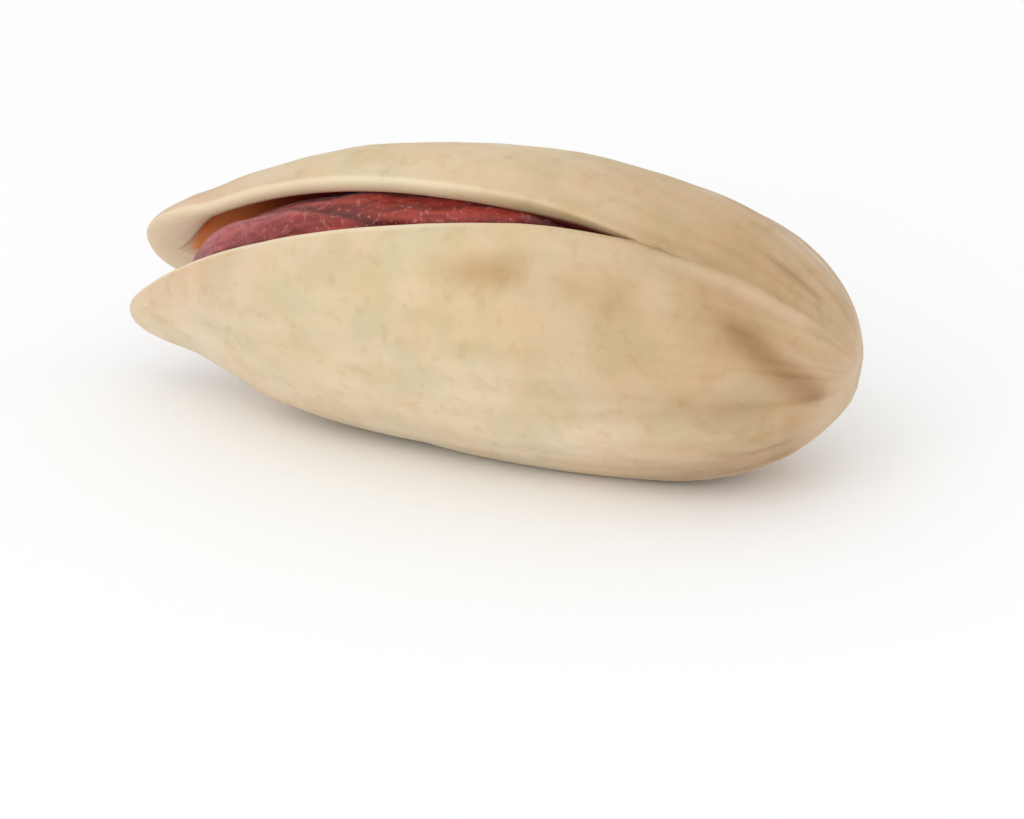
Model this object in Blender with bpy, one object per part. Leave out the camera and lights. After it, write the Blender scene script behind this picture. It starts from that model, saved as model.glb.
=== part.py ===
"""A pistachio in its shell, lying on its side with the shell split open.

There are two pieces: the shell, whose two valves are still joined at the stem end, and the kernel,
which lies loose between them. Units are metres and +Z is up. The nut's long axis runs along X, with
the open tip at -X and the stem end at +X. The origin is the middle of its footprint on the table.

Points are first worked out in the nut's own axes: length along the nut, height towards the split edge,
and breadth across the two valves. They are then rolled and pitched to the way the nut lies.
"""
import math
from collections import namedtuple

import bmesh
import bpy
import numpy as np
from mathutils import Euler

MM = 0.001

# A line of the nut's outline. height is its greatest distance from the long axis, reached at peak, a
# fraction of the length. blunt shapes the stem end and taper the long fall to the tip. A point under 1
# rounds the tip, and nub is the height of the blunt beak there.
Line = namedtuple("Line", "height peak blunt taper point nub")
# A split: where it starts, where it is fully open and how it widens, as fractions of the length.
Split = namedtuple("Split", "start full growth")
# The beak on the tip of a valve: its height and breadth, as shares of nub, its length, as a fraction of
# the shell, and how blunt its end is.
Beak = namedtuple("Beak", "height breadth length blunt")
# A valve: which side of the seam it is on, its beak, how much wider or narrower it is at the neck
# behind the beak, and how far its tip is bent up.
Valve = namedtuple("Valve", "side beak neck lift")

# The shell
SHELL_LENGTH = 22.0 * MM
SPLIT_EDGE_LINE = Line(5.92 * MM, 0.385, 1.57, 2.35, 0.82, 1.0 * MM)
BACK_LINE = Line(3.65 * MM, 0.375, 2.7, 2.15, 0.97, 0.75 * MM)
BREADTH_LINE = Line(4.1 * MM, 0.25, 1.9, 2.3, 1.0, 0.56 * MM)
PLAIN_BEAK = Beak(1.0, 1.0, 0.052, 2.0)
FRONT_VALVE = Valve(1.0, Beak(0.9, 1.0, 0.052, 2.0), -0.12, 0.0)
REAR_VALVE = Valve(-1.0, Beak(1.7, 1.35, 0.075, 2.3), 0.25, 0.24 * MM)
# How far behind its beak a valve's outline takes to lose it, as a fraction of the length
BEAK_FADE = 0.055
NECK = 0.89
NECK_WIDTH = 0.07
LIFT_START = 0.7
SPLIT_WIDTH = 2.05 * MM
FRONT_SPLIT = Split(0.231, 0.81, 0.95)
BACK_SPLIT = Split(0.56, 0.93, 1.2)

# The wall
WALL = 0.62 * MM
STEM_WALL = 1.3 * MM
BEAK_WALL = 0.9 * MM
INNER_END_ROUND = 0.10
LIP_ROUND = 0.2 * MM
LIP_ROUND_REACH = 0.10

# Low relief of the shell
SEAM_RIDGE = 0.24 * MM
SEAM_RIDGE_WIDTH = 0.10
RELIEF_START = 0.08
RIB_HEIGHT = 0.09 * MM
RIBS_PER_VALVE = 5
RIB_PEAK = 0.13
RIB_REACH = 0.22
# The scar of the stem is on the seam, a little way from the long axis towards the back
STEM_SCAR_DROP = 1.0 * MM
STEM_SCAR_DEPTH = 0.14 * MM
STEM_SCAR_RADIUS = 0.9 * MM

# The kernel follows the shape of the hollow that it grew in, a little smaller. KERNEL_LEAST keeps some
# height in its thin tip.
KERNEL_CLEARANCE = 0.42 * MM
KERNEL_LEAST = 0.14 * MM
KERNEL_FIRST = 0.09
KERNEL_LAST = 0.945
KERNEL_STEM_ROUND = 0.34
KERNEL_TIP_ROUND = 0.11
# It is wider where the valves have opened, and a low crest on it fills the slit. Both are shares of
# the opening.
KERNEL_SPREAD = 0.78
KERNEL_CREST = 0.8
KERNEL_CREST_WIDTH = 0.3
WRINKLE_DEPTH = 0.16 * MM
WRINKLES_AROUND = 9
WRINKLE_SWAY = 0.9

# How the nut lies
ROLL = math.radians(37.0)
PITCH = math.radians(-3.0)
FLAT_DEPTH = 0.18 * MM

# Mesh density
STEM_ROWS = 10
MIDDLE_ROWS = 14
TIP_ROWS = 14
VALVE_COLUMNS = 20
KERNEL_ROWS = 34
KERNEL_COLUMNS = 40
WELD = 0.002 * MM

# Colours, read off the nut by eye
SHELL_COLOUR = (0.72, 0.58, 0.38, 1.0)
KERNEL_COLOUR = (0.27, 0.065, 0.045, 1.0)
SHELL_ROUGHNESS = 0.5
KERNEL_ROUGHNESS = 0.6


def clear_scene():
    for item in list(bpy.data.objects):
        bpy.data.objects.remove(item, do_unlink=True)


def bell(value, middle, width):
    return np.exp(-((value - middle) / width) ** 2)


def line_height(line, along, beak, beak_share, neck):
    """Distance of an outline from the long axis at a fraction of the length, 0 stem to 1 tip."""
    before = np.clip(1.0 - along / line.peak, 0.0, 1.0)
    after = np.clip((along - line.peak) / (1.0 - line.peak), 0.0, 1.0)
    stem_side = (1.0 - before ** line.blunt) ** (1.0 / line.blunt)
    tip_side = (1.0 - after ** line.taper) ** line.point
    body = line.height * np.where(along < line.peak, stem_side, tip_side)
    body = body * (1.0 + neck * bell(along, NECK, NECK_WIDTH))
    past_beak = along - 1.0 + beak.length
    end = (1.0 - np.clip(past_beak / beak.length, 0.0, 1.0) ** beak.blunt) ** (1.0 / beak.blunt)
    nub = beak_share * line.nub * end * bell(np.minimum(past_beak, 0.0), 0.0, BEAK_FADE)
    return np.cbrt(body ** 3 + nub ** 3)


def split_share(split, along):
    """How far a split has opened there, from 0 to 1."""
    progress = np.clip((along - split.start) / (split.full - split.start), 0.0, 1.0)
    return np.sin(0.5 * np.pi * progress) ** split.growth


def half_opening(along, around):
    """How far a valve has moved away from the seam plane."""
    front = split_share(FRONT_SPLIT, along) * (1.0 + np.cos(around))
    back = split_share(BACK_SPLIT, along) * (1.0 - np.cos(around))
    return 0.25 * SPLIT_WIDTH * (front + back)


def rib_angle(along, height, breadth):
    """Angle round the line from the stem scar to the tip, which the ribs follow."""
    return np.arctan2(breadth, height + STEM_SCAR_DROP * (1.0 - along))


def shell_relief(along, around, height, breadth):
    """Height of the seam ridge and of the low ribs that fan out from the stem scar."""
    from_seam = np.minimum(around, np.pi - around)
    closed = 1.0 - split_share(FRONT_SPLIT, along) * (around < 0.5 * np.pi)
    ridge = SEAM_RIDGE * bell(from_seam, 0.0, SEAM_RIDGE_WIDTH) * closed
    angle = rib_angle(along, height, breadth)
    ribs = RIB_HEIGHT * np.cos(2.0 * RIBS_PER_VALVE * angle) * np.sin(angle) ** 2
    return (ridge + ribs * bell(along, RIB_PEAK, RIB_REACH)) * np.clip(along / RELIEF_START, 0.0, 1.0)


def cross_section(along, around, beak=PLAIN_BEAK, neck=0.0):
    """Height and breadth of a section: half an ellipse towards the split and another towards the back."""
    to_split = line_height(SPLIT_EDGE_LINE, along, beak, beak.height, 0.0)
    to_back = line_height(BACK_LINE, along, beak, beak.height, neck)
    height = np.where(np.cos(around) > 0.0, to_split, to_back) * np.cos(around)
    return height, line_height(BREADTH_LINE, along, beak, beak.breadth, neck) * np.sin(around)


def shrink(height, breadth, depth, least=0.0):
    """Share of its distance from the axis that a point keeps when it moves in by depth.

    It stays at least the distance least from the axis.
    """
    from_axis = np.hypot(height, breadth)
    return np.maximum(from_axis - depth, least) / np.maximum(from_axis, least + WELD)


def round_ends(share, stem_round, tip_round):
    """Closes a hollow or a kernel with a round end at share 0 and at share 1."""
    stem = np.clip(1.0 - share / stem_round, 0.0, 1.0)
    tip = np.clip(1.0 - (1.0 - share) / tip_round, 0.0, 1.0)
    return np.sqrt(1.0 - stem ** 2) * np.sqrt(1.0 - tip ** 2)


def length_at(along):
    return SHELL_LENGTH * (0.5 - along)


def open_valve(valve, along, around, length, height, breadth):
    """Moves a point of the closed shell to its place on a valve that has swung open."""
    lift = valve.lift * np.clip((along - LIFT_START) / (1.0 - LIFT_START), 0.0, 1.0) ** 2
    return np.stack([length, height + lift, valve.side * (breadth + half_opening(along, around))], -1)


def outer_face(along, around, valve):
    """Outer face of one valve."""
    height, breadth = cross_section(along, around, valve.beak, valve.neck)
    swell = 1.0 + shell_relief(along, around, height, breadth) / np.maximum(np.hypot(height, breadth), MM)
    from_scar = np.hypot(height + STEM_SCAR_DROP, breadth)
    scar = 1.0 + np.cos(np.pi * np.clip(from_scar / STEM_SCAR_RADIUS, 0.0, 1.0))
    length = length_at(along) - 0.5 * STEM_SCAR_DEPTH * scar * (along < RELIEF_START)
    return open_valve(valve, along, around, length, height * swell, breadth * swell)


def inner_face(share, around, valve):
    """Inner face of one valve. share runs from 0 at the hollow's stem end to 1 at its tip end.

    It opens with the outer face, row for row, so that both faces part at the same lip.
    """
    first = STEM_WALL / SHELL_LENGTH
    last = 1.0 - BEAK_WALL / SHELL_LENGTH
    along = first + (last - first) * share
    height, breadth = cross_section(along, around)
    scale = shrink(height, breadth, WALL) * round_ends(share, INNER_END_ROUND, INNER_END_ROUND)
    return open_valve(valve, share, around, length_at(along), height * scale, breadth * scale)


def lip_bulge(along, split):
    """The edge of a valve is rounded where the split has opened."""
    return LIP_ROUND * np.clip((along - split.start) / LIP_ROUND_REACH, 0.0, 1.0)


def shell_stations():
    """Fractions of the length, closer together at both ends, with one at the start of each split."""
    quarter = 0.5 * np.pi
    stem = FRONT_SPLIT.start * (1.0 - np.cos(np.linspace(0.0, quarter, STEM_ROWS + 1)))
    middle = np.linspace(FRONT_SPLIT.start, BACK_SPLIT.start, MIDDLE_ROWS + 1)
    tip = BACK_SPLIT.start + (1.0 - BACK_SPLIT.start) * np.sin(np.linspace(0.0, quarter, TIP_ROWS + 1))
    return np.concatenate([stem, middle[1:], tip[1:]])


class Skin:
    """Points and faces of a mesh that is welded once all its sheets are in place."""

    def __init__(self):
        self.points = []
        self.faces = []

    def add_sheet(self, grid):
        """Add a grid of points, given as rows by columns, and the four-sided faces between them."""
        rows, columns = grid.shape[:2]
        first = len(self.points)
        self.points.extend(grid.reshape(-1, 3))
        for row in range(rows - 1):
            for column in range(columns - 1):
                corner = first + row * columns + column
                self.faces.append((corner, corner + 1, corner + columns + 1, corner + columns))


def lip_sheet(outer_edge, inner_edge, bulge, side):
    """The rounded edge of a valve, between its outer and its inner face."""
    middle = 0.5 * (outer_edge + inner_edge)
    middle[:, 2] -= side * bulge
    return np.stack([outer_edge, middle, inner_edge], 1)


def shell_columns():
    """Angles from the split edge to the back seam, closer together at both."""
    even = np.linspace(0.0, 1.0, VALVE_COLUMNS + 1)
    return 0.5 * np.pi * (even + 0.5 - 0.5 * np.cos(np.pi * even))


def shell_skin():
    stations = shell_stations()
    around = shell_columns()
    along_grid, around_grid = np.meshgrid(stations, around, indexing="ij")
    skin = Skin()
    for valve in (FRONT_VALVE, REAR_VALVE):
        outer = outer_face(along_grid, around_grid, valve)
        inner = inner_face(along_grid, around_grid, valve)
        skin.add_sheet(outer)
        skin.add_sheet(inner)
        for column, row, split in ((0, STEM_ROWS, FRONT_SPLIT), (-1, STEM_ROWS + MIDDLE_ROWS, BACK_SPLIT)):
            bulge = lip_bulge(stations[row:], split)
            skin.add_sheet(lip_sheet(outer[row:, column], inner[row:, column], bulge, valve.side))
    return skin


def wrinkle_depth(share, around):
    """Depth of lengthwise furrows that sway from side to side and fade out at both ends."""
    sway = WRINKLE_SWAY * np.sin(3.0 * np.pi * share + 2.0 * around)
    ridge = np.abs(np.sin(0.5 * WRINKLES_AROUND * around + sway))
    return WRINKLE_DEPTH * (1.0 - ridge) ** 2 * np.sin(np.pi * share)


def kernel_face(share, around):
    """Surface of the kernel. share runs from 0 at its stem end to 1 at its tip end."""
    along = KERNEL_FIRST + (KERNEL_LAST - KERNEL_FIRST) * share
    height, breadth = cross_section(along, around)
    depth = WALL + KERNEL_CLEARANCE + wrinkle_depth(share, around)
    ends = round_ends(share, KERNEL_STEM_ROUND, KERNEL_TIP_ROUND)
    scale = shrink(height, breadth, depth, KERNEL_LEAST) * ends
    opening = half_opening(along, 0.5 * np.pi) * ends
    from_slit = np.arctan2(np.abs(np.sin(around)), np.cos(around))
    crest = KERNEL_CREST * opening * bell(from_slit, 0.0, KERNEL_CREST_WIDTH)
    wider = KERNEL_SPREAD * opening * np.sin(around)
    return np.stack([length_at(along), height * scale + crest, breadth * scale + wider], -1)


def kernel_skin():
    share = 0.5 * (1.0 - np.cos(np.linspace(0.0, np.pi, KERNEL_ROWS + 1)))
    around = np.linspace(0.0, 2.0 * np.pi, KERNEL_COLUMNS + 1)
    share, around = np.meshgrid(share, around, indexing="ij")
    skin = Skin()
    skin.add_sheet(kernel_face(share, around))
    return skin


def lay_down(points):
    """Turn points from the nut's own axes to the way it lies."""
    turn = np.array(Euler((0.5 * math.pi + ROLL, PITCH, 0.0)).to_matrix())
    return points @ turn.T


def make_material(name, colour, roughness):
    material = bpy.data.materials.new(name)
    material.use_nodes = True
    shader = material.node_tree.nodes["Principled BSDF"]
    shader.inputs["Base Color"].default_value = colour
    shader.inputs["Roughness"].default_value = roughness
    shader.inputs["Metallic"].default_value = 0.0
    return material


def make_object(name, points, faces, material):
    """Weld the sheets into one closed body whose faces point outwards."""
    mesh = bpy.data.meshes.new(name)
    mesh.from_pydata(points.tolist(), [], faces)
    body = bmesh.new()
    body.from_mesh(mesh)
    bmesh.ops.remove_doubles(body, verts=body.verts, dist=WELD)
    bmesh.ops.recalc_face_normals(body, faces=body.faces)
    body.to_mesh(mesh)
    body.free()
    mesh.shade_smooth()
    mesh.materials.append(material)
    item = bpy.data.objects.new(name, mesh)
    bpy.context.scene.collection.objects.link(item)


def main():
    clear_scene()
    shell = shell_skin()
    kernel = kernel_skin()
    shell_points = lay_down(np.array(shell.points))
    kernel_points = lay_down(np.array(kernel.points))
    low = shell_points.min(0)
    high = shell_points.max(0)
    floor = low[2] + FLAT_DEPTH
    shell_points[:, 2] = np.maximum(shell_points[:, 2], floor)
    origin = np.array([0.5 * (low[0] + high[0]), 0.5 * (low[1] + high[1]), floor])
    shell_material = make_material("shell", SHELL_COLOUR, SHELL_ROUGHNESS)
    kernel_material = make_material("kernel", KERNEL_COLOUR, KERNEL_ROUGHNESS)
    make_object("shell", shell_points - origin, shell.faces, shell_material)
    make_object("kernel", kernel_points - origin, kernel.faces, kernel_material)


main()
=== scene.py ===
"""The looks of a pistachio in its shell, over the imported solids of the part.

The shell and the kernel follow the same outlines as the part's source, with far more points, so that the
seam, the ribs, the rounded lips and the kernel's wrinkles show. Lengths are in metres. Points are first
worked out in the nut's own axes: length along the nut, height towards the split edge, and breadth across
the two valves. They are then rolled and pitched to the way the nut lies.
"""

import math
from collections import namedtuple

import bmesh
import bpy
import numpy as np
from mathutils import Euler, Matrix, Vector


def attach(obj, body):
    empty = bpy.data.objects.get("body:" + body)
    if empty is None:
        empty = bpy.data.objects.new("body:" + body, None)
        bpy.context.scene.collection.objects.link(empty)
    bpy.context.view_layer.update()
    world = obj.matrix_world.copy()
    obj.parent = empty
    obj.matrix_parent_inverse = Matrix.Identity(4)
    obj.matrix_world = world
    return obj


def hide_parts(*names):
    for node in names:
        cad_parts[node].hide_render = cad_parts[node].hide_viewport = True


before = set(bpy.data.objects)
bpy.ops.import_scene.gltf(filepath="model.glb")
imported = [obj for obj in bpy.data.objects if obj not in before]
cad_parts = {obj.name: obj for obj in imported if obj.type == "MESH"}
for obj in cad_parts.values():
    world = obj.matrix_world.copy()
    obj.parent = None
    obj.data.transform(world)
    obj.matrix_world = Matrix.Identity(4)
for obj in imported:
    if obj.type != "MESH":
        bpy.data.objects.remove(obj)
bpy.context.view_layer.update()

MM = 0.001

# A line of the nut's outline. height is its greatest distance from the long axis, reached at peak, a
# fraction of the length. blunt shapes the stem end and taper the long fall to the tip. A point under 1
# rounds the tip, and nub is the height of the blunt beak there.
Line = namedtuple("Line", "height peak blunt taper point nub")
# A split: where it starts, where it is fully open and how it widens, as fractions of the length.
Split = namedtuple("Split", "start full growth")
# The beak on the tip of a valve: its height and breadth, as shares of nub, its length, as a fraction of
# the shell, and how blunt its end is.
Beak = namedtuple("Beak", "height breadth length blunt")
# A valve: which side of the seam it is on, its beak, how much wider or narrower it is at the neck
# behind the beak, and how far its tip is bent up.
Valve = namedtuple("Valve", "side beak neck lift")
# A mark on the shell: the side that it is on, the path that it follows as (along, around) points, its
# half width and its strength. along is a fraction of the length and around an angle from the split edge.
Stain = namedtuple("Stain", "side path width strength")

# The shell's outline, as in the part's source
SHELL_LENGTH = 22.0 * MM
SPLIT_EDGE_LINE = Line(5.92 * MM, 0.385, 1.57, 2.35, 0.82, 1.0 * MM)
BACK_LINE = Line(3.65 * MM, 0.375, 2.7, 2.15, 0.97, 0.75 * MM)
BREADTH_LINE = Line(4.1 * MM, 0.25, 1.9, 2.3, 1.0, 0.56 * MM)
PLAIN_BEAK = Beak(1.0, 1.0, 0.052, 2.0)
FRONT_VALVE = Valve(1.0, Beak(0.9, 1.0, 0.052, 2.0), -0.12, 0.0)
REAR_VALVE = Valve(-1.0, Beak(1.7, 1.35, 0.075, 2.3), 0.25, 0.24 * MM)
# How far behind its beak a valve's outline takes to lose it, as a fraction of the length
BEAK_FADE = 0.055
# Where the neck is, how wide a stretch it takes up, and where a bent-up tip starts to rise
NECK = 0.89
NECK_WIDTH = 0.07
LIFT_START = 0.7
# How far apart the valves stand at the tip, where both splits are fully open
SPLIT_WIDTH = 2.05 * MM
FRONT_SPLIT = Split(0.231, 0.81, 0.95)
BACK_SPLIT = Split(0.56, 0.93, 1.2)

# The wall, which is thicker at the stem end and behind the beak
WALL = 0.62 * MM
STEM_WALL = 1.3 * MM
BEAK_WALL = 0.9 * MM
# The hollow closes over these shares of its length, round by the stem and in a shallow scoop at the tip.
# HOLLOW_EASE smooths its bottom where it runs out.
HOLLOW_STEM_ROUND = 0.1
HOLLOW_TIP_ROUND = 0.1
HOLLOW_TIP_BLUNT = 1.0
HOLLOW_EASE = 0.3 * MM
# How far a free lip bulges, how far along its split it takes to get there, and how much flatter it is
# at the very tip
LIP_ROUND = 0.17 * MM
LIP_ROUND_REACH = 0.28
LIP_FLAT_START = 0.93
LIP_FLAT_SHARE = 0.7

# Relief of the shell. Widths across the seam are angles, and reaches are fractions of the length.
SEAM_RIDGE = 0.17 * MM
SEAM_RIDGE_WIDTH = 0.085
SEAM_GROOVE = 0.13 * MM
SEAM_GROOVE_WIDTH = 0.022
SEAM_GROOVE_REACH = 0.11
RELIEF_START = 0.08
RIB_HEIGHT = 0.09 * MM
RIBS_PER_VALVE = 5
RIB_PEAK = 0.13
RIB_REACH = 0.22
# The scar of the stem is on the seam, a little way from the long axis towards the back
STEM_SCAR_DROP = 1.0 * MM
STEM_SCAR_DEPTH = 0.14 * MM
STEM_SCAR_RADIUS = 0.9 * MM

# The kernel follows the shape of the hollow that it grew in, a little smaller. KERNEL_LEAST keeps some
# height in its thin tip.
KERNEL_CLEARANCE = 0.42 * MM
KERNEL_LEAST = 0.14 * MM
KERNEL_FIRST = 0.09
KERNEL_LAST = 0.93
KERNEL_STEM_ROUND = 0.34
KERNEL_TIP_ROUND = 0.11
# It is wider where the valves have opened, and a low crest on it fills the slit. Both are shares of
# the opening.
KERNEL_SPREAD = 0.78
KERNEL_CREST = 0.8
KERNEL_CREST_WIDTH = 0.3
# Where it shows in the slit it almost touches the shell, over this angle to each side
SLIT_CLEARANCE = 0.15 * MM
SLIT_SPREAD = 0.98
SLIT_FILL_ANGLE = 0.9
# Its lengthwise wrinkles sway by WRINKLE_SWAY, in WRINKLE_BENDS bends from end to end, and the bends
# are shifted from one side of it to the other
WRINKLE_DEPTH = 0.16 * MM
WRINKLES_AROUND = 9
WRINKLE_SWAY = 0.9
WRINKLE_BENDS = 3.0
WRINKLE_SHIFT = 2.0

# How the nut lies, and where the middle of its long axis is in the part's frame
ROLL = math.radians(37.0)
PITCH = math.radians(-3.0)
NUT_MIDDLE = np.array([0.0212, 0.5614, 3.5070]) * MM

# Mesh density
STEM_ROWS = 40
MIDDLE_ROWS = 70
TIP_ROWS = 70
VALVE_COLUMNS = 100
LIP_STRIPS = 8
KERNEL_ROWS = 180
KERNEL_COLUMNS = 240
WELD = 0.0002 * MM

# Distances over which the fine relief fades out: from the stem scar, from the floor, and from the tip
# as a fraction of the length
SCAR_FADE = 1.6 * MM
FLOOR_FADE = 0.7 * MM
TIP_FADE = 0.04
# How wide the pale edge of a lip is outside and inside, and how deep in the hollow the lining has its
# full colour. A lip that is still closed counts as CLOSED_DISTANCE away. From PALE_TIP_START on, a strip
# inside the lip is pale too, and it is PALE_TIP wide at the very tip.
LIP_EDGE = 0.11 * MM
LIP_EDGE_INSIDE = 0.26 * MM
LINING_DEPTH = 1.1 * MM
CLOSED_DISTANCE = 3.0 * MM
PALE_TIP_START = 0.85
PALE_TIP = 0.45 * MM

# The shell's marks. TAPER is the width of a mark where it starts, as a share of its full width.
TAPER = 0.4
BROWN_MARKS = (
    Stain(1.0, ((0.15, 0.25), (0.1, 0.46), (0.07, 0.64), (0.047, 0.84), (0.027, 1.2)), 0.38 * MM, 0.75),
    Stain(1.0, ((0.15, 0.03), (0.2, 0.01), (0.245, 0.0)), 0.09 * MM, 0.6),
    Stain(1.0, ((0.17, 1.45), (0.132, 1.57), (0.07, 1.87)), 0.16 * MM, 0.35),
    # This brown mark along the lower side near the stem end is partly a real brown stain and partly painted
    # contact shade.
    Stain(1.0, ((0.3, 1.95), (0.184, 1.95), (0.139, 2.02), (0.08, 2.12)), 0.33 * MM, 0.5),
    Stain(-1.0, ((0.12, 0.40), (0.085, 0.4), (0.042, 0.41)), 0.14 * MM, 0.5),
)
TAN_MARKS = (
    Stain(1.0, ((0.2, 0.2), (0.14, 0.3), (0.119, 0.399), (0.079, 0.55), (0.037, 0.95)), 0.75 * MM, 0.85),
    Stain(1.0, ((0.5, 0.34), (0.43, 0.34), (0.37, 0.35)), 0.55 * MM, 0.95),
    Stain(1.0, ((0.42, 0.36), (0.33, 0.38), (0.25, 0.43)), 0.6 * MM, 0.5),
    Stain(1.0, ((0.2, 1.0), (0.12, 1.15), (0.05, 1.5)), 0.7 * MM, 0.5),
    Stain(-1.0, ((0.2, 0.29), (0.13, 0.294), (0.05, 0.3)), 1.0 * MM, 0.4),
)
PALE_MARKS = (
    Stain(1.0, ((0.23, 0.09), (0.166, 0.053), (0.122, 0.063), (0.045, 0.105)), 0.24 * MM, 0.8),
    Stain(1.0, ((0.092, 0.36), (0.05, 0.52), (0.017, 0.85)), 0.2 * MM, 0.5),
    Stain(1.0, ((0.06, 2.0), (0.03, 2.0), (0.004, 2.0)), 0.8 * MM, 1.0),
    Stain(-1.0, ((0.06, 2.0), (0.03, 2.0), (0.004, 2.0)), 0.8 * MM, 1.0),
)

# Colours of the shell, as linear red, green, blue and alpha. A tint multiplies what is under it.
CREAM = (0.70, 0.565, 0.37, 1.0)
TAN_END = (0.575, 0.415, 0.25, 1.0)
PEACH_TIP = (0.73, 0.52, 0.36, 1.0)
# Paler cream painted low on the shell as bounce light from the floor
LOW_BOUNCE_LIGHT_CREAM = (0.81, 0.70, 0.525, 1.0)
# Darker rosy colour painted next to the floor as contact shade
CONTACT_SHADE_ROSE = (0.66, 0.46, 0.34, 1.0)
GREY_TINT = (0.905, 0.935, 0.89, 1.0)
WARM_TINT = (1.0, 0.945, 0.89, 1.0)
FRECKLE_TINT = (0.95, 0.92, 0.88, 1.0)
STREAK_TINT = (0.88, 0.825, 0.76, 1.0)
TAN_TINT = (0.80, 0.68, 0.56, 1.0)
STAIN_AND_SHADE_BROWN = (0.27, 0.135, 0.055, 1.0)
PALE_BAND = (0.77, 0.60, 0.46, 1.0)
LIP_CREAM = (0.84, 0.72, 0.51, 1.0)
# Near-black lining colour, painted shade in the narrow end of the slit
LINING_PAINTED_SHADE = (0.17, 0.026, 0.012, 1.0)
LINING_RED = (0.5, 0.07, 0.03, 1.0)
LINING_ORANGE = (0.95, 0.30, 0.07, 1.0)
LINING_RIM = (0.82, 0.65, 0.46, 1.0)
# Colours of the kernel and of the floor
KERNEL_RED = (0.41, 0.045, 0.028, 1.0)
KERNEL_MAUVE = (0.53, 0.125, 0.13, 1.0)
# Dark red painted into the furrows as shade
KERNEL_FURROW_SHADE = (0.14, 0.016, 0.014, 1.0)
KERNEL_SPECK = (0.62, 0.22, 0.19, 1.0)
KERNEL_STREAK_TINT = (0.55, 0.42, 0.40, 1.0)
KERNEL_GRAIN_TINT = (0.62, 0.55, 0.52, 1.0)
FLOOR_WHITE = (0.96, 0.967, 0.968, 1.0)

# Where a colour or an effect starts and where it is full, then how strong it is at each if that isn't
# 0 and 1. These run along the length of the nut.
TAN_END_FADE = (0.52, 0.1)
PEACH_TIP_FADE = (0.66, 0.98)
LOW_BOUNCE_LIGHT_ALONG = (0.1, 0.36, 0.1, 0.8)
STREAK_FADE = (0.5, 0.05, 0.25, 1.0)
LIP_FADE = (0.3, 0.55, 0.0, 0.6)
LINING_RED_FADE = (0.38, 0.55)
LINING_ORANGE_FADE = (0.81, 0.93)
# These run with the height above the floor
LOW_BOUNCE_LIGHT_HEIGHT = (5.0 * MM, 1.4 * MM)
CONTACT_SHADE_HEIGHT = (2.4 * MM, 0.9 * MM, 0.0, 0.22)
# How far over the lip the lining starts, from the stem to the middle, over what share of the lip it
# comes in, and how the depth in the hollow hides its pale rim. Near the stem it covers more of the lip,
# so that the painted shade of the narrow slit shows on the lip as a dark line.
LINING_START = (0.25, 0.4, 0.3, 0.62)
LINING_BLEND = 0.25
LINING_RIM_FADE = (0.5, 0.0)
# How streaks break up a brown mark, how warm blotches deepen a tan one, and how much of a pale one shows
BROWN_BY_STREAK = (0.1, 0.7, 0.7, 1.1)
TAN_BY_WARMTH = (0.0, 1.0, 0.75, 1.0)
PALE_SHARE = 0.35
# How the kernel turns mauve along its length and darker with painted shade by the depth of its furrows,
# and how much of a speck's colour shows
KERNEL_MAUVE_FADE = (0.6, 0.95)
KERNEL_FURROW_SHADE_FADE = (0.1, 0.8)
KERNEL_SPECK_SHARE = 0.5
# Roughness, by how warm the shell is and how speckled the kernel is, and the strength of the fine bumps
SHELL_ROUGHNESS = (0.0, 0.45, 0.40, 0.54)
KERNEL_ROUGHNESS = (0.0, 1.0, 0.42, 0.62)
SHELL_BUMP = 1.0
KERNEL_BUMP = 0.8

# Patterns, by the names of the inputs of their node groups
GREY_BLOTCHES = {"Size": 1.7 * MM, "Detail": 3.0, "Cover": 0.48, "Softness": 0.1, "Seed": 1.0}
WARM_BLOTCHES = {"Size": 2.4 * MM, "Detail": 3.0, "Cover": 0.5, "Softness": 0.1, "Seed": 5.0}
FRECKLES = {"Size": 0.5 * MM, "Detail": 3.0, "Cover": 0.4, "Softness": 0.06, "Seed": 9.0}
KERNEL_SPECKS = {"Size": 0.15 * MM, "Detail": 2.0, "Cover": 0.37, "Softness": 0.08, "Seed": 4.0}
SHELL_STREAKS = {"Stretch": 2.2, "Count": 7.0, "Seed": 3.0}
KERNEL_STREAKS = {"Stretch": 7.0, "Count": 10.0, "Seed": 2.0}
KERNEL_GRAIN = {"Stretch": 38.0, "Count": 22.0, "Seed": 7.0}
SHELL_PORES = {
    "Pit Size": 0.34 * MM,
    "Pit Depth": 0.008 * MM,
    "Grain Size": 0.22 * MM,
    "Grain Depth": 0.016 * MM,
}
KERNEL_PORES = {
    "Pit Size": 0.3 * MM,
    "Pit Depth": 0.03 * MM,
    "Grain Size": 0.14 * MM,
    "Grain Depth": 0.03 * MM,
}
SHELL_UNEVENNESS = {
    "Dent Size": 2.6 * MM,
    "Dent Depth": 0.11 * MM,
    "Furrow Stretch": 2.0,
    "Furrow Count": 6.0,
    "Furrow Depth": 0.035 * MM,
    "Seed": 2.0,
}
KERNEL_UNEVENNESS = {
    "Dent Size": 1.1 * MM,
    "Dent Depth": 0.15 * MM,
    "Furrow Stretch": 9.0,
    "Furrow Count": 11.0,
    "Furrow Depth": 0.14 * MM,
    "Seed": 6.0,
}
# Detail of the noise in each pattern, and the range of the noise that makes its streaks, pits or furrows
STREAK_DETAIL = 3.0
STREAK_RANGE = (0.35, 0.68)
PIT_DETAIL = 1.0
PIT_RANGE = (0.62, 0.74)
GRAIN_DETAIL = 4.0
GRAIN_ROUGHNESS = 0.6
DENT_DETAIL = 2.0
FURROW_DETAIL = 2.0
FURROW_RANGE = (0.3, 0.7)

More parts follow.
